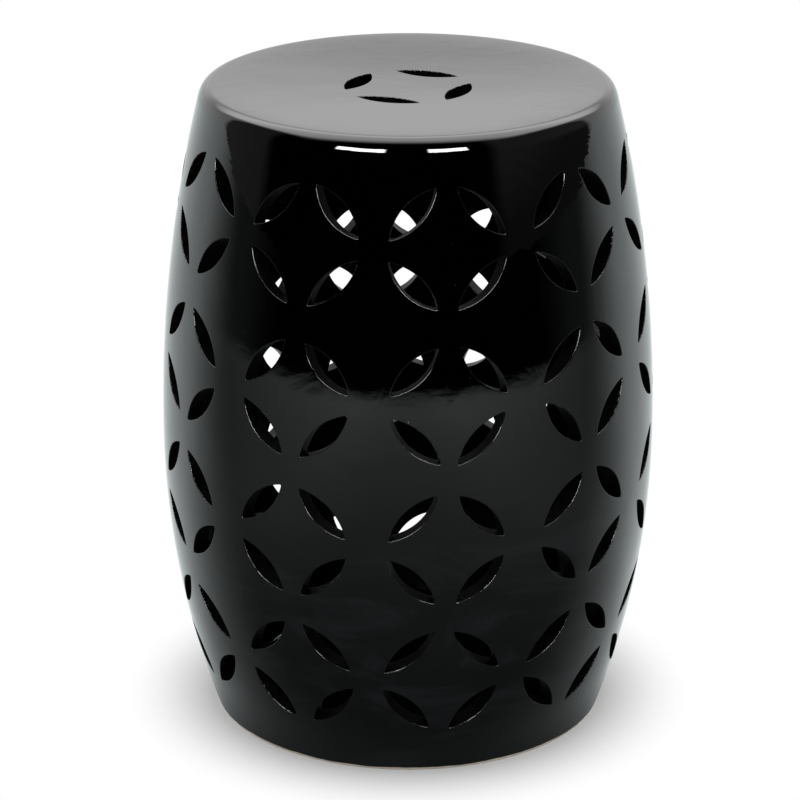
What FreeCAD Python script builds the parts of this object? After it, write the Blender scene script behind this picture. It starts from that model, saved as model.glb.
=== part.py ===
import FreeCAD, Part
import math
import os

# A glazed ceramic drum stool, hollow, with petals cut through its wall and seat.
# Millimetres, +Z up. The origin is on the floor, on the drum's axis.
# A column of petal rings faces -Y.

# Drum: two bulging arcs that meet, upright, at the belly, followed by short cones
stool_height = 457.0
belly_height = 206.0
belly_radius = 174.2
lower_bulge_radius = 627.0
upper_bulge_radius = 1017.0
wall_thickness = 12.0
wall_band_height = 48.0

# Seat: a slab that sagged a little in the kiln, with a rolled shoulder
seat_thickness = 12.0
seat_dish = 3.6
seat_flat_radius = 50.0
shoulder_roll_radius = 8.0

# Foot: a ring turned in under the wall, which rests on its outer rim
foot_ring_height = 14.0
foot_ring_width = 32.0
foot_rim_width = 15.0
foot_recess = 3.0
foot_edge_bevel = 2.0
foot_mouth_bevel = 4.0

# Lattice: courses of petal rings, four petals to a ring
courses = 4
rings_round = 10
lattice_foot_margin = 36.9
lattice_shoulder_margin = 33.3
ring_reach = 39.5
petal_tip_gap = 14.0
petal_width = 16.0
course_climb = 6.0
course_drift = 0.52

# Seat ring: the same petal, four times round the middle of the seat
seat_petals = 4
seat_petal_length = 46.0
seat_ring_radius = 37.0
seat_ring_turn = -30.0

# How far a petal's cutter stands proud of the clay that it goes through
cutter_overrun = 6.0


def wall_radius(z, inset=0.0):
    """Radius of the drum's outside at a height, or of the same curve moved inwards."""
    bulge = lower_bulge_radius if z < belly_height else upper_bulge_radius
    return belly_radius - bulge + math.sqrt((bulge - inset) ** 2 - (z - belly_height) ** 2)


def wall_stops(z_from, z_to):
    """Heights between two joints where one cone of the wall ends and the next begins."""
    stops = [z_from]
    for turn in (belly_height, z_to):
        span = turn - stops[-1]
        if span > 0 and turn <= z_to:
            bands = math.ceil(span / wall_band_height)
            start = stops[-1]
            stops += [start + span * (band + 1) / bands for band in range(bands)]
    return stops


def section_edges(corners):
    """Straight edges that join (radius, height) corners one after the other."""
    points = [FreeCAD.Vector(r, 0, z) for r, z in corners]
    return [Part.LineSegment(a, b).toShape() for a, b in zip(points, points[1:])]


def revolved(edges):
    """The solid that a closed section in the XZ plane sweeps round the drum's axis."""
    face = Part.Face(Part.Wire(edges))
    return face.revolve(FreeCAD.Vector(0, 0, 0), FreeCAD.Vector(0, 0, 1), 360)


def petal_cutter(tip_a, tip_b, outward, depth):
    """A lens-shaped prism between two tips, standing along the outward direction."""
    along = (tip_b - tip_a).normalize()
    outward = (outward - along * outward.dot(along)).normalize()
    base = outward * -(depth + cutter_overrun)
    bulge = outward.cross(along) * (petal_width / 2)
    start, end, middle = tip_a + base, tip_b + base, (tip_a + tip_b) * 0.5 + base
    sides = [
        Part.Arc(start, middle + bulge, end).toShape(),
        Part.Arc(end, middle - bulge, start).toShape(),
    ]
    return Part.Face(Part.Wire(sides)).extrude(outward * (depth + 2 * cutter_overrun))


def on_wall(angle, z):
    """A point of the drum's outside; the angle runs round from -Y towards +X, in radians."""
    r = wall_radius(z)
    return FreeCAD.Vector(r * math.sin(angle), -r * math.cos(angle), z)


def wall_outward(point):
    """The outside's normal at a point close to it, which points away from its arc's centre."""
    bulge = lower_bulge_radius if point.z < belly_height else upper_bulge_radius
    round_axis = math.hypot(point.x, point.y)
    rise = (point.z - belly_height) / (round_axis + bulge - belly_radius)
    return FreeCAD.Vector(point.x / round_axis, point.y / round_axis, rise)


def ring_petals(angle, z):
    """The four petal cutters of one ring, whose centre lies on the wall."""
    near = petal_tip_gap / 2
    cutters = []
    for side in (-1, 1):
        for up in (-1, 1):
            z_pole = z + up * ring_reach
            z_flank = z + up * near
            pole = on_wall(angle + side * near / wall_radius(z_pole), z_pole)
            flank = on_wall(angle + side * ring_reach / wall_radius(z_flank), z_flank)
            outward = wall_outward((pole + flank) * 0.5)
            cutters.append(petal_cutter(pole, flank, outward, wall_thickness))
    return cutters


def course_petals(course):
    """Every cutter of one course, which drifts round and climbs towards the back."""
    start = math.radians(course_drift * (course - (courses - 1) / 2))
    cutters = []
    for ring in range(rings_round):
        angle = start + ring * 2 * math.pi / rings_round
        climb = course_climb * (1 - math.cos(angle)) / 2
        cutters += ring_petals(angle, course_height(course) + climb)
    return cutters


def course_height(course):
    """Height of a course's ring centres at the front: the courses are spread evenly."""
    lowest = lattice_foot_margin + ring_reach
    highest = stool_height - lattice_shoulder_margin - ring_reach
    return lowest + (highest - lowest) * course / (courses - 1)


def wall_ring(z_from, z_to, first_course, last_course):
    """A stretch of the wall between two level joints, with its courses cut through it."""
    stops = wall_stops(z_from, z_to)
    outside = [(wall_radius(z), z) for z in stops]
    inside = [(wall_radius(z, wall_thickness), z) for z in stops]
    section = section_edges(outside + inside[::-1] + outside[:1])
    cutters = []
    for course in range(first_course, last_course + 1):
        cutters += course_petals(course)
    return revolved(section).cut(cutters)


def seat_disc(joint):
    """The seat slab: dished above and below, rolled over at its edge, on a level ledge."""
    roll = shoulder_roll_radius
    roll_z = stool_height - roll
    roll_r = wall_radius(roll_z, roll)
    # The roll touches the drum's curve from inside, on the line from that curve's centre.
    lean = math.atan2(roll_z - belly_height, roll_r - belly_radius + upper_bulge_radius)
    wall_top = (roll_r + roll * math.cos(lean), roll_z + roll * math.sin(lean))
    # The dish rises from the seat's flat middle in a straight line that touches the roll.
    flat = (seat_flat_radius, stool_height - seat_dish)
    reach = math.hypot(roll_r - flat[0], roll_z - flat[1])
    slope = math.atan2(roll_z - flat[1], roll_r - flat[0]) + math.asin(roll / reach)
    dish_rim = (roll_r - roll * math.sin(slope), roll_z + roll * math.cos(slope))
    turn = (math.pi / 2 + slope + lean) / 2
    crown = (roll_r + roll * math.cos(turn), roll_z + roll * math.sin(turn))

    section = section_edges([
        dish_rim,
        flat,
        (0, stool_height - seat_dish),
        (0, joint - seat_dish),
        (seat_flat_radius, joint - seat_dish),
        (wall_radius(joint, wall_thickness), joint),
        (wall_radius(joint), joint),
        wall_top,
    ])
    roll_ends = [FreeCAD.Vector(r, 0, z) for r, z in (wall_top, crown, dish_rim)]
    section.append(Part.Arc(*roll_ends).toShape())
    up = FreeCAD.Vector(0, 0, 1)
    cutters = []
    for petal in range(seat_petals):
        angle = math.radians(seat_ring_turn + petal * 360 / seat_petals)
        outward = FreeCAD.Vector(math.cos(angle), math.sin(angle), 0)
        middle = outward * seat_ring_radius + up * stool_height
        half = up.cross(outward) * (seat_petal_length / 2)
        cutters.append(petal_cutter(middle - half, middle + half, up, seat_thickness + seat_dish))
    return revolved(section).cut(cutters)


def foot_ring():
    """The in-turned base ring: a level rim to stand on, a recess behind it and a round mouth."""
    mouth = wall_radius(0) - foot_ring_width
    rim_inner = wall_radius(0) - foot_rim_width
    corners = [
        (wall_radius(foot_edge_bevel), foot_edge_bevel),
        (wall_radius(0) - foot_edge_bevel, 0),
        (rim_inner, 0),
        (rim_inner, foot_recess),
        (mouth, foot_recess),
        (mouth, foot_ring_height - foot_mouth_bevel),
        (mouth + foot_mouth_bevel, foot_ring_height),
        (wall_radius(foot_ring_height), foot_ring_height),
    ]
    return revolved(section_edges(corners + corners[:1]))


# The wall's two halves are luted together midway between the two middle courses.
waist_joint = (course_height(courses // 2 - 1) + course_height(courses // 2)) / 2
seat_joint = stool_height - seat_thickness

nodes = {
    "foot_ring": foot_ring(),
    "lower_wall": wall_ring(foot_ring_height, waist_joint, 0, courses // 2 - 1),
    "upper_wall": wall_ring(waist_joint, seat_joint, courses // 2, courses - 1),
    "seat_disc": seat_disc(seat_joint),
}

os.makedirs("parts", exist_ok=True)
for name, shape in nodes.items():
    shape.exportStep("parts/" + name + ".step")
    print(name, "solids", len(shape.Solids), "valid", shape.isValid(), "faces", len(shape.Faces))
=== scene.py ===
import math

import bpy
import numpy as np
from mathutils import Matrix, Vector


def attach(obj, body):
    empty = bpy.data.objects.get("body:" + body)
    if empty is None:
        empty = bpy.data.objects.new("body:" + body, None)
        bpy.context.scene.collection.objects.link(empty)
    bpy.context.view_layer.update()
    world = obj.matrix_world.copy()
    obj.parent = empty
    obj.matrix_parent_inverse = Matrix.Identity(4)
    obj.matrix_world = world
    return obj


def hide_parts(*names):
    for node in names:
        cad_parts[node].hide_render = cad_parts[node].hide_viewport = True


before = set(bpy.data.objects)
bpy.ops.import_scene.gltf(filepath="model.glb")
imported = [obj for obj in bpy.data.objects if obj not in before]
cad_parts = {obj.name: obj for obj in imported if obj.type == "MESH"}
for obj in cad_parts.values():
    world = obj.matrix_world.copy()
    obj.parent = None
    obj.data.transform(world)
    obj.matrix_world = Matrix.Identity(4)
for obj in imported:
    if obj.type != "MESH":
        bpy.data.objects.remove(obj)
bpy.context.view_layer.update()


# The camera
# A long lens looks 20 degrees down at the stool from 2.4 m away.
# It stands a little round to the left of the stool's front.
camera_turn = math.radians(-9.01)
camera_rise = math.radians(20.4)
camera_distance = 2.381
camera_target = Vector((0.0, 0.0, 0.2233))
camera_film = 36.0
camera_lens = 150.3
camera_shift = -0.01
camera_back = Vector((
    math.sin(camera_turn) * math.cos(camera_rise),
    -math.cos(camera_turn) * math.cos(camera_rise),
    math.sin(camera_rise),
))

camera = bpy.data.objects.new("camera", bpy.data.cameras.new("camera"))
camera.data.sensor_width = camera_film
camera.data.lens = camera_lens
camera.data.shift_x = camera_shift
camera.data.clip_start = 0.1
camera.data.clip_end = 60.0
camera.location = camera_target + camera_back * camera_distance
camera.rotation_mode = "QUATERNION"
camera.rotation_quaternion = camera_back.to_track_quat("Z", "Y")
bpy.context.scene.collection.objects.link(camera)
bpy.context.scene.camera = camera


# The foot ring
# The drum stands on an in-turned ring of the same clay, luted under the lower wall.
# It is glazed down to a wiped line, and the rim that it stands on is bare clay.
belly_height = 0.206
belly_radius = 0.1742
lower_bulge = 0.627
upper_bulge = 1.017
wall_thickness = 0.012
columns = 240

foot_joint = 0.014
foot_rim_width = 0.015
foot_ring_width = 0.032
foot_recess = 0.003
foot_edge_round = 0.0014
mouth_round = 0.004
rim_corner_round = 0.001
recess_corner_round = 0.002
joint_lip_width = 0.0195
joint_lip_height = 0.0008
glaze_line = 0.0019
glaze_line_fade = 0.0003
glaze_line_waver = 0.0018
grog_relief = 0.00012
wave_relief = 0.00035
throwing_line_relief = 0.000015
ripple_relief = 0.000009
swirl_relief = 0.0001
bead_relief = 0.0016
pinhole_depth = 0.00008
knife_mark_relief = 0.00025
glaze_roughness = 0.022
smear_roughness = 0.02
thin_glaze_roughness = 0.06
bare_clay_roughness = 0.6
inside_roughness = 0.22
inside_mottle_roughness = 0.25
inside_gloss = 0.04
weld_steps_per_metre = 1e6
glaze_black = (0.0002, 0.0002, 0.0003, 1)
thin_glaze_black = (0.0008, 0.0007, 0.0006, 1)
# Lighter bluish colour of the low streaks, partly a painted sheen of the mirrored lit floor.
glaze_streak_sheen = (0.0034, 0.0044, 0.0048, 1)
clay_dark, clay_pale = (0.34, 0.30, 0.25, 1), (0.58, 0.53, 0.46, 1)
inside_dark, inside_pale = (0.0010, 0.0010, 0.0010, 1), (0.0040, 0.0037, 0.0034, 1)
round_angle = np.arange(columns) * 2 * math.pi / columns


def on_drum(angle, z, depth):
    """Points under the drum's outside, P = (r sin a, -r cos a, z) - depth N, and its normals N.

    r = belly - B + sqrt(B^2 - (z - z_belly)^2), where B is the lower or the upper arc's radius.
    """
    bulge = np.where(z < belly_height, lower_bulge, upper_bulge)
    rise = (z - belly_height) / bulge
    flat = np.sqrt(1 - rise**2)
    r = belly_radius - bulge + bulge * flat
    normals = np.stack(np.broadcast_arrays(flat * np.sin(angle), -flat * np.cos(angle), rise), -1)
    points = np.stack(np.broadcast_arrays(r * np.sin(angle), -r * np.cos(angle), z), -1)
    return points - np.asarray(depth)[..., None] * normals, normals


def grid_normals(points):
    """Unit normals of a grid of points, N = dP/di x dP/dj, where j runs once round and closes."""
    along = np.gradient(points, axis=-3)
    around = np.roll(points, -1, axis=-2) - np.roll(points, 1, axis=-2)
    normals = np.cross(along, around)
    return normals / np.linalg.norm(normals, axis=-1, keepdims=True)


def grid_faces(rows, turns):
    """Quads of a grid whose rows close on themselves, numbered row by row."""
    row, turn = np.meshgrid(np.arange(rows - 1), np.arange(turns), indexing="ij")
    after = (turn + 1) % turns
    above = row + 1
    quads = [row * turns + turn, above * turns + turn, above * turns + after, row * turns + after]
    return np.stack(quads, -1).reshape(-1, 4)


def lathe(radii, heights):
    """A profile turned round the drum's axis, P = (r sin a, -r cos a, z), with its normals."""
    r, z = np.asarray(radii)[:, None], np.asarray(heights)[:, None]
    x, y = r * np.sin(round_angle), -r * np.cos(round_angle)
    points = np.stack(np.broadcast_arrays(x, y, z), -1)
    return points, grid_normals(points)


def rounded(corners, cuts, steps=4):
    """A profile whose corners are cut by short curves, (1-t)^2 A + 2t(1-t) C + t^2 B."""
    path = [corners[0]]
    t = np.linspace(0, 1, steps + 1)[:, None]
    for before, corner, after, cut in zip(corners, corners[1:], corners[2:], cuts):
        before, corner, after = (np.array(p) for p in (before, corner, after))
        start = corner + (before - corner) * cut / np.linalg.norm(before - corner)
        end = corner + (after - corner) * cut / np.linalg.norm(after - corner)
        path.extend((1 - t) ** 2 * start + 2 * t * (1 - t) * corner + t**2 * end)
    path.append(corners[-1])
    return np.array(path, float)


def make_piece(name, node, materials, grids, caps=()):
    """One closed mesh from grids of (points, normals, inside, faces), welded where they meet.

    A cap is a grid's number and the points of it that one many-sided face joins. Faces whose
    points all lie inside take the second material. Points less than a step apart are one.
    """
    points = np.concatenate([g[0].reshape(-1, 3) for g in grids])
    normals = np.concatenate([g[1].reshape(-1, 3) for g in grids])
    inside = np.concatenate([g[2].reshape(-1) for g in grids])
    starts = np.cumsum([0] + [g[0].size // 3 for g in grids[:-1]])
    faces = np.concatenate([g[3] + start for g, start in zip(grids, starts)])
    keys = np.floor(points * weld_steps_per_metre + 0.37).astype(np.int64)
    _, first, weld = np.unique(keys, axis=0, return_index=True, return_inverse=True)
    weld = weld.reshape(-1)
    loops = [starts[grid] + loop for grid, loop in caps]
    dull = (inside[faces].min(axis=1) > 0.999).tolist()
    dull += [bool(inside[loop].min() > 0.999) for loop in loops]
    faces = weld[faces].tolist() + [weld[loop].tolist() for loop in loops]
    mesh = bpy.data.meshes.new(name)
    mesh.from_pydata(points[first].tolist(), [], faces)
    mesh.polygons.foreach_set("use_smooth", np.ones(len(faces), bool))
    mesh.polygons.foreach_set("material_index", np.array(dull, np.int32))
    mesh.attributes.new("petal_edge", "FLOAT", "POINT").data.foreach_set("value", inside[first])
    mesh.normals_split_custom_set_from_vertices(normals[first].tolist())
    for material in materials:
        mesh.materials.append(material)
    piece = bpy.data.objects.new(name, mesh)
    bpy.context.scene.collection.objects.link(piece)
    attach(piece, "root")
    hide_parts(node)
    return piece


class Wire:
    """A socket of a node tree. Sums and products of wires and numbers add the nodes for them."""

    def __init__(self, tree, socket=None):
        self.tree = tree
        self.socket = socket

    def node(self, kind, settings, inputs, output=0):
        """Adds a node of any kind: its settings first, then its sockets' values or links."""
        made = self.tree.nodes.new(kind)
        for key, value in settings.items():
            setattr(made, key, value)
        for key, value in inputs.items():
            if isinstance(value, Wire):
                self.tree.links.new(value.socket, made.inputs[key])
            else:
                made.inputs[key].default_value = value
        return Wire(self.tree, made.outputs[output] if made.outputs else None)

    def math(self, operation, *values):
        """Adds a Math node."""
        return self.node("ShaderNodeMath", {"operation": operation}, dict(enumerate(values)))

    def __add__(self, other):
        return self.math("ADD", self, other)

    def __radd__(self, other):
        return self.math("ADD", other, self)

    def __sub__(self, other):
        return self.math("SUBTRACT", self, other)

    def __rsub__(self, other):
        return self.math("SUBTRACT", other, self)

    def __mul__(self, other):
        return self.math("MULTIPLY", self, other)

    def __rmul__(self, other):
        return self.math("MULTIPLY", other, self)

    def __truediv__(self, other):
        return self.math("DIVIDE", self, other)

    def __rtruediv__(self, other):
        return self.math("DIVIDE", other, self)

    def ease(self, low, high):
        """Rises smoothly from 0 at low to 1 at high, and falls if high is the lower one."""
        start, end = min(low, high), max(low, high)
        step = self.node(
            "ShaderNodeMapRange",
            {"interpolation_type": "SMOOTHSTEP"},
            {"Value": self, "From Min": start, "From Max": end},
        )
        return step if low < high else 1 - step

    def between(self, low, high, soft):
        """1 from low to high and 0 past them, softened over a width inside each end."""
        return self.ease(low, low + soft) * self.ease(high, high - soft)


def clean_tree(owner):
    """The owner's node tree, emptied, as the start of a wire."""
    owner.use_nodes = True
    owner.node_tree.nodes.clear()
    return Wire(owner.node_tree)


def noise(start, where, scale, detail=3.0, roughness=0.5, swirl=0.0):
    """A cloudy value round 0.5, whose clouds are about 1 / scale metres wide."""
    sockets = {"Vector": where, "Scale": scale, "Detail": detail, "Roughness": roughness}
    return start.node("ShaderNodeTexNoise", {}, {**sockets, "Distortion": swirl})


def blend(start, share, first, second):
    """The colour (1 - share) first + share second."""
    sockets = {0: share, 6: first, 7: second}
    return start.node("ShaderNodeMix", {"data_type": "RGBA"}, sockets, 2)


def petal_edge(start):
    """1 on the petals' cut faces and on the inside of the clay, 0 on the outside."""
    return start.node("ShaderNodeAttribute", {"attribute_name": "petal_edge"}, {}, "Fac")


def split(start, vector, axis):
    """One of a vector's shares, X, Y or Z."""
    return start.node("ShaderNodeSeparateXYZ", {}, {"Vector": vector}, axis)


def glaze_relief(start, where):
    """Heights in metres on the glaze, a sum of noises.

    They are a slow wave, throwing lines, ripples, swirls, beads on cut edges, and pinholes.
    """
    beads = petal_edge(start) * (noise(start, where, 450.0, 3.0) - 0.5) * bead_relief
    stretched = start.node("ShaderNodeMapping", {}, {"Vector": where, "Scale": (0.12, 0.12, 1.0)})
    wave = (noise(start, where, 16.0, 1.0) - 0.5) * wave_relief
    lines = (noise(start, stretched, 150.0, 2.0) - 0.5) * throwing_line_relief
    ripple = (noise(start, where, 300.0, 1.0) - 0.5) * ripple_relief
    swirls = (noise(start, where, 22.0, 2.0, swirl=1.6) - 0.5) * swirl_relief
    cells = start.node(
        "ShaderNodeTexVoronoi", {"feature": "F1"}, {"Vector": where, "Scale": 90.0}, "Distance"
    )
    patchy = noise(start, where, 23.0).ease(0.52, 0.66)
    pits = cells.ease(0.05, 0.02) * patchy * -pinhole_depth
    return wave + lines + ripple + swirls + beads + pits


def glaze_shader(start, where):
    """Colour and roughness of the thick iron-black glaze.

    It is thinner and duller on the petals' rims. Low on the drum it has lighter bluish streaks:
    real streaking, with a painted sheen of the lit floor's reflection in their colour.
    """
    thin = petal_edge(start)
    colour = blend(start, thin, glaze_black, thin_glaze_black)
    turned_and_stretched = {"Vector": where, "Rotation": (0.5, 0.4, 0), "Scale": (1, 1, 2.6)}
    slanted = start.node("ShaderNodeMapping", {}, turned_and_stretched)
    # Painted sheen: the streaks' lighter bluish colour stands for the lit floor mirrored low on the
    # drum, so it is kept below about 0.2 m.
    sheen_streaks = noise(start, slanted, 13.0, 5.0, 0.6, swirl=1.2).ease(0.42, 0.72)
    colour = blend(start, sheen_streaks * split(start, where, "Z").ease(0.25, 0.14), colour, glaze_streak_sheen)
    smear = noise(start, where, 35.0, 5.0, 0.6).ease(0.45, 0.8)
    return colour, glaze_roughness + smear_roughness * smear + thin_glaze_roughness * thin


def finished(start, colour, roughness, relief, gloss=0.5):
    """Links a colour, a roughness and a height in metres to a shader, and that to the output."""
    bump = start.node("ShaderNodeBump", {}, {"Height": relief, "Distance": 1.0, "Strength": 1.0})
    shader = start.node(
        "ShaderNodeBsdfPrincipled",
        {},
        {"Base Color": colour, "Roughness": roughness, "Specular IOR Level": gloss, "Normal": bump},
    )
    start.node("ShaderNodeOutputMaterial", {}, {"Surface": shader})


foot_clay = bpy.data.materials.new("foot_clay")
start = clean_tree(foot_clay)
where = start.node("ShaderNodeTexCoord", {}, {}, "Object")
colour, roughness = glaze_shader(start, where)
wiped = split(start, where, "Z") + (noise(start, where, 55.0) - 0.5) * glaze_line_waver
bare = wiped.ease(glaze_line + glaze_line_fade, glaze_line - glaze_line_fade)
grog = noise(start, where, 900.0, 4.0, 0.7)
colour = blend(start, bare, colour, blend(start, grog, clay_dark, clay_pale))
relief = glaze_relief(start, where) + bare * grog * grog_relief
finished(start, colour, roughness + bare * bare_clay_roughness, relief)

dull_inside = bpy.data.materials.new("dull_inside")
start = clean_tree(dull_inside)
where = start.node("ShaderNodeTexCoord", {}, {}, "Object")
mottle = noise(start, where, 140.0, 4.0, 0.6)
colour = blend(start, mottle.ease(0.4, 0.7), inside_dark, inside_pale)
knife_marks = (noise(start, where, 380.0, 3.0) - 0.5) * knife_mark_relief
roughness = inside_roughness + inside_mottle_roughness * mottle
finished(start, colour, roughness, knife_marks, inside_gloss)

rim_radius = float(np.linalg.norm(on_drum(0.0, np.float64(0.0), 0.0)[0][:2]))
wall_z = np.linspace(foot_joint, foot_edge_round, 6)
outside = on_drum(0.0, wall_z, 0.0)[0]
turned_under = rounded(
    [
        (-outside[-1][1], foot_edge_round),
        (rim_radius, 0.0),
        (rim_radius - foot_rim_width, 0.0),
        (rim_radius - foot_rim_width, foot_recess),
        (rim_radius - foot_ring_width, foot_recess),
        (rim_radius - foot_ring_width, foot_joint),
        (rim_radius - joint_lip_width, foot_joint + joint_lip_height),
    ],
    [
        foot_edge_round * 0.98,
        rim_corner_round,
        rim_corner_round,
        recess_corner_round,
        mouth_round,
    ],
)
top_inside = on_drum(0.0, np.float64(foot_joint), wall_thickness)[0]
profile_r = np.concatenate([
    -outside[:, 1], turned_under[1:, 0], [-top_inside[1]], [-outside[0][1]]
])
profile_z = np.concatenate([outside[:, 2], turned_under[1:, 1], [top_inside[2]], [outside[0][2]]])
foot_points, foot_normals = lathe(profile_r, profile_z)
foot_normals[0] = on_drum(round_angle, np.float64(foot_joint), 0.0)[1]
foot_faces = grid_faces(len(profile_r), columns)
make_piece(
    "foot_ring",
    "foot_ring",
    [foot_clay, dull_inside],
    [(foot_points, foot_normals, np.zeros(foot_points.shape[:-1]), foot_faces)],
)


# The lower wall
# The lower half of the thrown clay drum, with two courses of petal rings cut through it while it
# was leather-hard. It is luted to the foot ring, and the glaze leaves its petals' edges round.
ring_count = 10
lowest_course = 0.0764
course_step = 0.1026
course_half = course_step / 2
course_heights = [lowest_course + course_step * course for course in range(4)]
course_slips = (0.0004, 0.0002, -0.0007, 0.0012)
waist_joint = (course_heights[1] + course_heights[2]) / 2
seat_joint = 0.445
petal_middle = 0.02325
petal_half_length = 0.0226
petal_half_width = 0.0073
petal_tip_round = 0.2
rim_round = 0.0005
inner_round = 0.0010
rim_steps = 48
back_climb = 0.004
turn_per_metre = math.radians(0.52) / course_step
lower_warp_heights = (0.036, 0.2192)
upper_warp_heights = (0.2415, 0.4241)
skin_shares = (0, 0.22, 0.42, 0.6, 0.75, 0.87, 0.95)
inside_shares = (0.55, 0.25, 0)
tip_stretch = 1.15
slip_scatter = 0.0005
lean_scatter = 0.018
length_scatter = 0.012
hand_cut = np.random.default_rng(11)


def eased(x, low, high):
    """Rises from 0 at low to 1 at high as t^2 (3 - 2 t)."""
    t = np.clip((x - low) / (high - low), 0, 1)
    return t * t * (3 - 2 * t)


def lens(offset, steps):
    """A petal's outline, (-a cos t, b sin t sqrt((sin^2 t + e) / (1 + e))), grown by each offset.

    It is close to two arcs that meet at two tips, which e rounds.
    """
    length = petal_half_length + tip_stretch * offset[:, None]
    width = petal_half_width + offset[:, None]
    t = np.arange(steps) * 2 * math.pi / steps
    swell = np.sqrt((np.sin(t) ** 2 + petal_tip_round) / (1 + petal_tip_round))
    return -length * np.cos(t), width * np.sin(t) * swell


def through_cut(thickness):
    """Offset, depth, petal share and rim share of the rings of points round a petal, going inwards.

    The petal share runs from 0 at the cell's frame to 1 at the petal, and the rim share from 0 on
    the skin to 1 in the cut. Each edge of the cut is a quarter circle.
    """
    skin = len(skin_shares)
    turn = np.linspace(0, math.pi / 2, 6)
    under = np.linspace(0, math.pi / 2, 4)
    low, high = rim_round, thickness - inner_round
    cut = np.linspace(low, high, 4)[1:-1]
    offset = np.concatenate([
        np.full(skin, rim_round),
        rim_round * (1 - np.sin(turn)),
        np.zeros(2),
        inner_round * (1 - np.cos(under)),
        np.full(len(inside_shares), inner_round),
    ])
    depth = np.concatenate([
        np.zeros(skin),
        rim_round * (1 - np.cos(turn)),
        cut,
        high + inner_round * np.sin(under),
        np.full(len(inside_shares), thickness),
    ])
    at_petal = np.ones(len(depth) - skin - len(inside_shares))
    share = np.concatenate([skin_shares, at_petal, inside_shares])
    return offset, depth, share, eased(depth, 0.3 * rim_round, 0.97 * rim_round)


def drum_warp(angle, z):
    """The lattice turns a little as it rises and climbs towards the back, but not at the joints.

    The turn is even with height. The climb is c ((1 - cos a) / 2)^3, most of it at the back.
    """
    (low, low_end), (high, high_end) = lower_warp_heights, upper_warp_heights
    free = eased(z, foot_joint, low) * (1 - eased(z, low_end, waist_joint))
    free = free + eased(z, waist_joint, high) * (1 - eased(z, high_end, seat_joint))
    climb = back_climb * ((1 - np.cos(angle)) / 2) ** 3 * free
    return angle + turn_per_metre * (z - waist_joint), z + climb


def wall_cells(courses):
    """The cells of some courses, four to a ring, as grids of points round each petal.

    A point is the mean of the cell's frame and the petal's outline, weighted by its ring's share.
    """
    offset, depth, share, rim_share = through_cut(wall_thickness)
    side = np.arange(rim_steps // 4) / (rim_steps // 4)
    frame_x = np.concatenate([side, np.ones_like(side), 1 - side, np.zeros_like(side)])
    frame_z = np.concatenate([np.ones_like(side), 1 - side, np.zeros_like(side), side])
    lens_u, lens_v = lens(offset, rim_steps)
    grids = []
    for course in courses:
        for across in (1, -1):
            for up in (1, -1):
                ring = np.arange(ring_count)[:, None, None] * 2 * math.pi / ring_count
                slip = hand_cut.normal(0, slip_scatter, (2, ring_count, 1, 1))
                lean = math.pi / 4 + hand_cut.normal(0, lean_scatter, (ring_count, 1, 1))
                stretch = 1 + hand_cut.normal(0, length_scatter, (ring_count, 1, 1))
                u = lens_u * stretch
                x = petal_middle + u * np.cos(lean) + lens_v * np.sin(lean) + slip[0]
                z = petal_middle - u * np.sin(lean) + lens_v * np.cos(lean) + slip[1]
                z = course_heights[course] + up * z + course_slips[course]
                r = np.linalg.norm(on_drum(0.0, z, 0.0)[0][..., :2], axis=-1)
                petal_angle = x / r
                frame_angle = frame_x * math.pi / ring_count
                frame_height = course_heights[course] + up * course_half * frame_z
                mix = share[:, None]
                angle = ring + across * (frame_angle * (1 - mix) + petal_angle * mix)
                z = frame_height * (1 - mix) + z * mix
                points, outward = on_drum(*drum_warp(angle, z), depth[:, None])
                normals = grid_normals(points) * across * up
                normals[:, 0], normals[:, -1] = outward[:, 0], -outward[:, -1]
                edge = np.broadcast_to(rim_share[:, None], z.shape)
                faces = grid_faces(len(offset), rim_steps)
                faces = faces if across * up > 0 else faces[:, ::-1]
                grids += [(points[k], normals[k], edge[k], faces) for k in range(ring_count)]
    return grids


def wall_band(z_from, z_to, rows, depth, facing):
    """A plain band of the drum's wall at a depth, facing outwards (1) or inwards (-1)."""
    z = np.linspace(z_from, z_to, rows + 1)[:, None]
    points, normals = on_drum(*drum_warp(round_angle, z), np.full((rows + 1, 1), depth))
    faces = grid_faces(rows + 1, columns)
    faces = faces[:, ::-1] if facing > 0 else faces
    return points, normals * facing, np.full(points.shape[:-1], float(facing < 0)), faces


def wall_ledge(z, facing):
    """The ledge across the wall's thickness at a joint, facing up (1) or down (-1).

    It lies hidden in the joint and shares the normals of the two faces of the wall.
    """
    depth = np.array([[0.0], [wall_thickness]])
    points, normals = on_drum(*drum_warp(round_angle, np.full((2, 1), z)), depth)
    normals = normals * np.array([1.0, -1.0])[:, None, None]
    faces = grid_faces(2, columns)
    faces = faces[:, ::-1] if facing > 0 else faces
    return points, normals, np.zeros(points.shape[:-1]), faces


black_glaze = bpy.data.materials.new("black_glaze")
start = clean_tree(black_glaze)
where = start.node("ShaderNodeTexCoord", {}, {}, "Object")
colour, roughness = glaze_shader(start, where)
finished(start, colour, roughness, glaze_relief(start, where))

lowest = course_heights[0] - course_half
make_piece(
    "lower_wall",
    "lower_wall",
    [black_glaze, dull_inside],
    wall_cells((0, 1)) + [
        wall_band(foot_joint, lowest, 3, 0.0, 1),
        wall_band(foot_joint, lowest, 3, wall_thickness, -1),
        wall_ledge(foot_joint, -1),
        wall_ledge(waist_joint, 1),
    ],
)


# The upper wall
# The upper half of the clay drum, thrown apart and luted on at the waist, where the seam is
# smoothed away. It holds the two upper courses and the plain shoulder.
highest = course_heights[3] + course_half
make_piece(
    "upper_wall",
    "upper_wall",
    [black_glaze, dull_inside],
    wall_cells((2, 3)) + [
        wall_band(highest, seat_joint, 3, 0.0, 1),
        wall_band(highest, seat_joint, 3, wall_thickness, -1),
        wall_ledge(waist_joint, -1),
        wall_ledge(seat_joint, 1),
    ],
)


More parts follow.
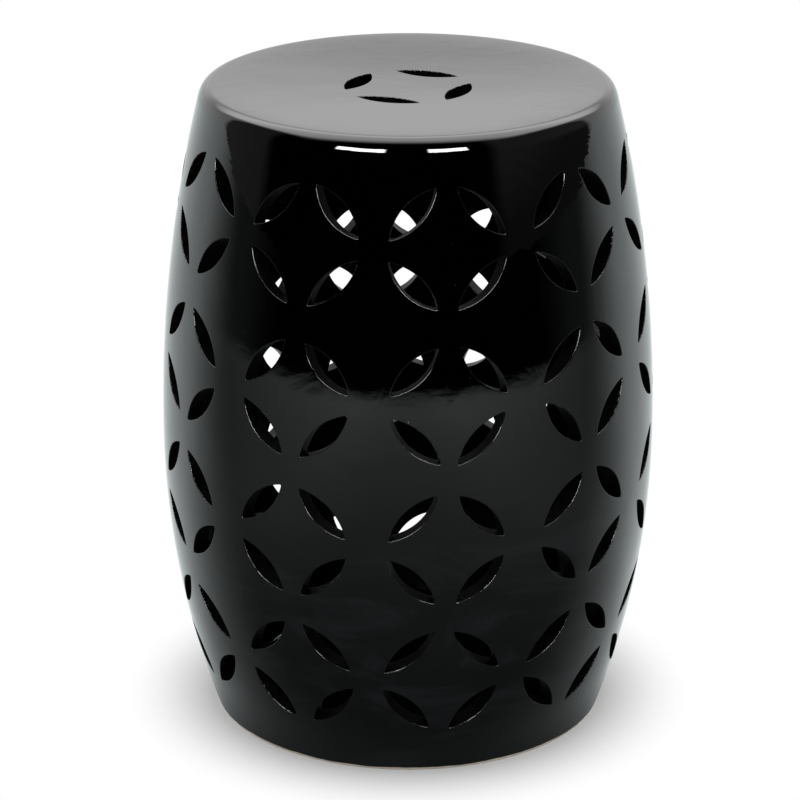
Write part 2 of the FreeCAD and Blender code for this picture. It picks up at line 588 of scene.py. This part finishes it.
# The seat
# A slab of the same clay with a rolled shoulder, luted on top of the wall. It sagged a little in
# the kiln. One ring of four petals is cut through its middle.
stool_height = 0.457
seat_thickness = 0.012
seat_dish = 0.0036
dish_power = 2.2
dish_ease = 1.5
crown_radius = 0.1360
roll_radius = 0.008
soft_roll_radius = 0.020
roll_break = math.radians(60)
roll_end = math.asin(0.9714)
seat_ring_radius = 0.037
seat_ring_turn = math.radians(-30)
seat_middle = 0.001
seat_cell_inner = 0.017
seat_cell_outer = 0.060


def seat_top(r):
    """Height of the dished seat, z = h - dish (1 - (r / crown)^p)^q, level at the crown."""
    share = np.minimum(r / crown_radius, 1)
    return stool_height - seat_dish * (1 - share**dish_power) ** dish_ease


def seat_slope(r):
    """Slope of the dished seat, dz/dr = dish p q s^(p-1) (1 - s^p)^(q-1) / crown, s = r / crown."""
    share = np.minimum(r / crown_radius, 1)
    rise = dish_power * dish_ease * share ** (dish_power - 1) / crown_radius
    return seat_dish * rise * (1 - share**dish_power) ** (dish_ease - 1)


def seat_cell(turn):
    """The quarter of the seat round one petal, as a grid of points round it.

    A point is the mean of the quarter's frame and the petal's outline, weighted as in the wall.
    """
    offset, depth, share, rim_share = through_cut(seat_thickness)
    steps = columns
    eighth = np.arange(steps // 8) / (steps // 8)
    quarter = np.arange(steps // 4) / (steps // 4)
    one = np.ones(steps // 8)
    swing = np.concatenate([-one, -1 + 2 * quarter, one, one, 1 - 2 * quarter, -one])
    reach = np.concatenate([
        0.5 + eighth / 2,
        np.ones(steps // 4),
        1 - eighth / 2,
        0.5 - eighth / 2,
        np.zeros(steps // 4),
        eighth / 2,
    ])
    frame_angle = swing * math.pi / 4
    frame_r = seat_cell_inner + (seat_cell_outer - seat_cell_inner) * reach
    frame_x, frame_y = frame_r * np.sin(frame_angle), frame_r * np.cos(frame_angle)
    lens_u, lens_v = lens(offset, steps)
    mix = share[:, None]
    x = frame_x * (1 - mix) + lens_u * mix
    y = frame_y * (1 - mix) + (seat_ring_radius + lens_v) * mix
    z = seat_top(np.hypot(x, y)) - depth[:, None]
    points = np.stack([
        x * math.cos(turn) - y * math.sin(turn), x * math.sin(turn) + y * math.cos(turn), z
    ], -1)
    normals = grid_normals(points)
    slope = seat_slope(frame_r)
    flat = points[0, :, :2] / np.hypot(x, y)[0][:, None]
    rim = np.concatenate([-flat * slope[:, None], np.ones((steps, 1))], -1)
    rim /= np.linalg.norm(rim, axis=-1, keepdims=True)
    normals[0], normals[-1] = rim, -rim
    edge = np.broadcast_to(rim_share[:, None], z.shape)
    return points, normals, edge, grid_faces(len(offset), steps)


def seat_disc_grid(r_from, r_to, rows, drop, facing):
    """A plain ring of the seat between two radii, facing up (1) or, a drop lower, down (-1)."""
    r = np.linspace(r_from, r_to, rows + 1)
    points, _ = lathe(r, seat_top(r) - drop)
    slope = seat_slope(r)
    normals = np.stack(np.broadcast_arrays(
        -slope[:, None] * np.sin(round_angle),
        slope[:, None] * np.cos(round_angle),
        np.ones((rows + 1, 1)),
    ), -1)
    normals = normals / np.linalg.norm(normals, axis=-1, keepdims=True) * facing
    faces = grid_faces(rows + 1, columns)
    faces = faces if facing > 0 else faces[:, ::-1]
    return points, normals, np.full(points.shape[:-1], float(facing < 0)), faces


tilt = np.concatenate([
    np.linspace(0, roll_break, 14), np.linspace(roll_break, roll_end, 8)[1:]
])
radius_of_turn = np.where(tilt[1:] <= roll_break + 1e-9, roll_radius, soft_roll_radius)
roll_r = crown_radius + np.concatenate([[0], np.cumsum(radius_of_turn * np.diff(np.sin(tilt)))])
roll_z = stool_height + np.concatenate([[0], np.cumsum(radius_of_turn * np.diff(np.cos(tilt)))])
shoulder_z = np.linspace(roll_z[-1], seat_joint, 4)[1:]
shoulder = on_drum(0.0, shoulder_z, 0.0)[0]
inner_lip = on_drum(0.0, np.float64(seat_joint), wall_thickness)[0]
shell_r = np.concatenate([roll_r, -shoulder[:, 1], [-inner_lip[1]]])
shell_z = np.concatenate([roll_z, shoulder[:, 2], [inner_lip[2]]])
shell_points, shell_normals = lathe(shell_r, shell_z)
shell_normals[-2] = on_drum(round_angle, np.float64(seat_joint), 0.0)[1]
shell_grid = (
    shell_points,
    shell_normals,
    np.zeros(shell_points.shape[:-1]),
    grid_faces(len(shell_r), columns),
)
under_r = np.linspace(seat_cell_outer, -inner_lip[1], 8)
under_z = np.concatenate([seat_top(under_r[:-1]) - seat_thickness, [inner_lip[2]]])
under_points, under_normals = lathe(under_r, under_z)
under_grid = (
    under_points,
    -under_normals,
    np.ones(under_points.shape[:-1]),
    grid_faces(len(under_r), columns)[:, ::-1],
)
make_piece(
    "seat_disc",
    "seat_disc",
    [black_glaze, dull_inside],
    [seat_cell(seat_ring_turn - math.pi / 2 + k * math.pi / 2) for k in range(4)] + [
        seat_disc_grid(seat_cell_outer, crown_radius, 24, 0.0, 1),
        shell_grid,
        under_grid,
        seat_disc_grid(seat_middle, seat_cell_inner, 5, 0.0, 1),
        seat_disc_grid(seat_middle, seat_cell_inner, 5, seat_thickness, -1),
    ],
    [(7, np.arange(columns)), (8, np.arange(columns)[::-1])],
)


# The surroundings
# A pale floor under even white light, painted near black under the drum as painted shade. To
# mirrored rays the floor glows with painted light instead: a painted reflection of a lit floor,
# bright behind the stool, with a painted shadow in front of it. The glaze mirrors a studio: a
# white wall behind the stool, a dark room in front, a wide softbox overhead and two small ones
# high in front.
floor_size = 40.0
floor_grey = (0.94, 0.94, 0.94, 1)
# The floor's painted shade under the drum.
painted_shade_black = (0.01, 0.01, 0.01, 1)
mirror_tint = (0.93, 1, 1, 1)
white = (1, 1, 1, 1)
# Levels of the floor's painted glow as mirrored rays see it.
floor_front_level = 0.03
floor_front_rise = 0.42
floor_front_sides = 0.15
floor_far_sides = 0.09
wall_azimuths = (111.0, 116.0)
wall_level = 1.05
wall_middle_azimuths = (138.0, 172.0)
wall_middle_level = 0.55
wall_middle_glow = 0.8
wall_skirting_shade = 0.24
left_side_level = 0.15
right_side_low, right_side_rise = 0.06, 0.11
overhead_level = 4.5
box_level = 34.0
left_box_azimuths = (-40.0, -11.0)
right_box_azimuths = (9.5, 33.5)
box_elevations = (14.0, 25.5)
second_mirror_share = 0.12

floor_mesh = bpy.data.meshes.new("floor")
half = floor_size / 2
corners = [(-half, -half, 0), (half, -half, 0), (half, half, 0), (-half, half, 0)]
floor_mesh.from_pydata(corners, [], [(0, 1, 2, 3)])
floor = bpy.data.objects.new("floor", floor_mesh)
bpy.context.scene.collection.objects.link(floor)


def turned(start, where):
    """A vector's shares to the camera's right, back and up, and its azimuth.

    The azimuth is in degrees, 0 on the camera's side and positive to its right.
    """
    facing = start.node(
        "ShaderNodeVectorRotate",
        {"rotation_type": "Z_AXIS"},
        {"Vector": where, "Angle": -camera_turn},
    )
    right, back, up = (split(start, facing, axis) for axis in "XYZ")
    azimuth = start.math("ARCTAN2", right, 0 - back) * (180 / math.pi)
    return right, back, up, azimuth


def mirrored(start):
    """1 for a ray that only mirrors have turned since the camera, and 0 for any other."""
    glossy = start.node("ShaderNodeLightPath", {}, {}, "Is Glossy Ray")
    diffuse = start.node("ShaderNodeLightPath", {}, {}, "Diffuse Depth")
    return glossy * (1 - start.math("MINIMUM", diffuse, 1.0))


floor_material = bpy.data.materials.new("floor")
start = clean_tree(floor_material)
where = start.node("ShaderNodeTexCoord", {}, {}, "Object")
# Painted light: mirrored rays see the floor glow, full white behind the stool, near black under it,
# and with a painted shadow in front that lightens with distance and ends by 1.8 m.
right, back, _, azimuth = turned(start, where)
distance = start.node("ShaderNodeVectorMath", {"operation": "LENGTH"}, {0: where}, "Value")
aside = start.math("ABSOLUTE", right)
rear = (back + 0.18) / (aside * 0.5 + 0.2)
lit = rear.ease(0.0, 1.0) * distance.ease(0.12, 0.17)
ahead = start.math("MAXIMUM", 0 - back, 0.0)
front = floor_front_level + floor_front_rise * ahead + floor_front_sides * aside.ease(0.1, 0.6)
front = front * distance.ease(1.8, 1.45)
far = distance.ease(1.3, 1.8)
dim = floor_far_sides * start.math("ABSOLUTE", azimuth).ease(60.0, 85.0) * far
mirror_level = (front + dim) * (1 - lit) + lit
mirror_glow = start.node(
    "ShaderNodeEmission", {}, {"Color": mirror_tint, "Strength": mirror_level}
)
# Painted shade: the floor's colour turns near black within about 0.12 m of the axis, under the
# drum.
tone = blend(start, distance.ease(0.10, 0.15), painted_shade_black, floor_grey)
pale = start.node("ShaderNodeBsdfDiffuse", {}, {"Color": tone})
plain = start.node("ShaderNodeEmission", {}, {"Color": white, "Strength": 1.0})
seen = start.node("ShaderNodeMixShader", {}, {0: distance.ease(0.135, 0.21), 1: pale, 2: plain})
floor_mix = start.node("ShaderNodeMixShader", {}, {0: mirrored(start), 1: seen, 2: mirror_glow})
start.node("ShaderNodeOutputMaterial", {}, {"Surface": floor_mix})
floor_mesh.materials.append(floor_material)

world = bpy.data.worlds.new("studio")
bpy.context.scene.world = world
start = clean_tree(world)
where = start.node("ShaderNodeTexCoord", {}, {}, "Generated")
right, back, up, azimuth = turned(start, where)
elevation = start.math("ARCSINE", up) * (180 / math.pi)
aside = start.math("ABSOLUTE", azimuth)
over = start.math("ARCTAN2", up, back) * (180 / math.pi)
middle = aside.ease(*wall_middle_azimuths)
low_glow = wall_middle_glow * elevation.ease(40.0, 12.0)
middle_level = wall_middle_level + low_glow - wall_skirting_shade * elevation.ease(13.0, 7.0)
wall = wall_level * (1 - middle) + middle_level * middle
left_side = left_side_level * azimuth.ease(-74.0, -83.0)
right_side = right_side_low + right_side_rise * elevation.ease(1.0, 10.0)
right_side = right_side * azimuth.ease(41.0, 52.0)
behind = aside.ease(*wall_azimuths)
room = wall * behind + (left_side + right_side) * (1 - behind)
overhead = overhead_level * over.ease(14.0, 50.0) * over.ease(134.0, 92.0)
overhead = overhead * start.math("ABSOLUTE", right).ease(0.8, 0.6)
boxes = azimuth.between(*left_box_azimuths, 2.0) + azimuth.between(*right_box_azimuths, 2.0)
boxes = boxes * elevation.between(*box_elevations, 1.0)
level = start.math("MAXIMUM", room, overhead) + box_level * boxes
mirrors = start.node("ShaderNodeLightPath", {}, {}, "Ray Depth")
level = level * (1 - (1 - second_mirror_share) * mirrors.ease(2.2, 2.8))
studio_mix = mirrored(start)
strength = studio_mix * level + (1 - studio_mix)
sky = start.node("ShaderNodeBackground", {}, {"Color": white, "Strength": strength})
start.node("ShaderNodeOutputWorld", {}, {"Surface": sky})

bpy.context.scene.view_settings.view_transform = "Standard"
